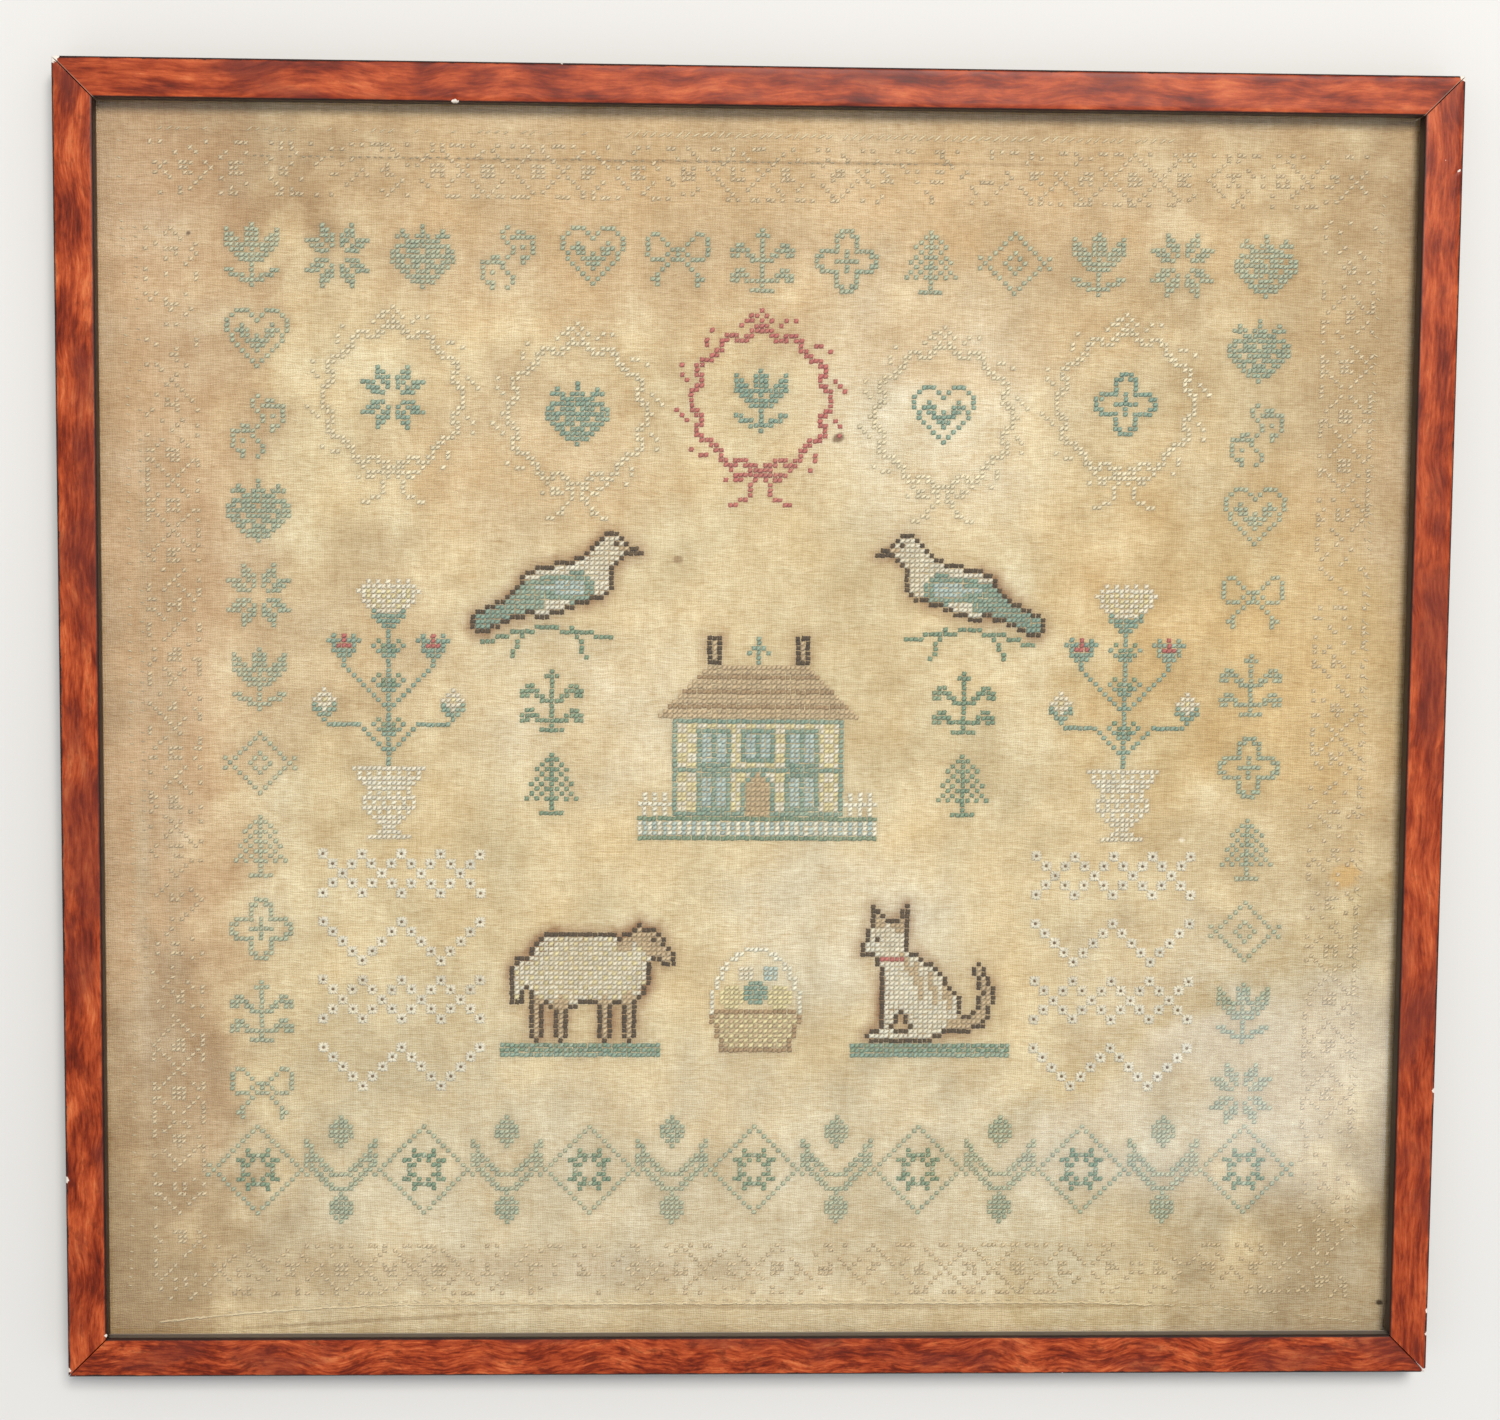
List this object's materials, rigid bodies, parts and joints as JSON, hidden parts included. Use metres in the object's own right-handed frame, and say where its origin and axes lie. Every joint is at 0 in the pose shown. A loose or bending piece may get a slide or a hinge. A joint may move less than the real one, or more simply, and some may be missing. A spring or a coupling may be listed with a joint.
{
  "type": "framed cross stitch sampler",
  "caption": "Hemmed linen sampler worked in cross stitch, under glass in a slim mitred and rebated frame with a plain backing board, lying on its back.",
  "frame": {"origin": "under the middle of the frame, on the surface it lies on", "axes": "+Z out of the picture's face, +Y to the picture's top, +X to its right"},
  "size_m": [0.42, 0.398, 0.016],
  "materials": {
    "moulding": "painted to look like red-brown figured veneer, satin varnish, black arrises",
    "pane": "clear picture glass with a faint haze",
    "linen": "aged unbleached linen with wool and silk cross stitches",
    "board": "bare aged softwood"
  },
  "bodies": {
    "root": {"frame_top": "moulding", "frame_bottom": "moulding", "frame_left": "moulding", "frame_right": "moulding", "glazing": "pane", "sampler_cloth": "linen", "backing_board": "board"}
  },
  "joints": []
}
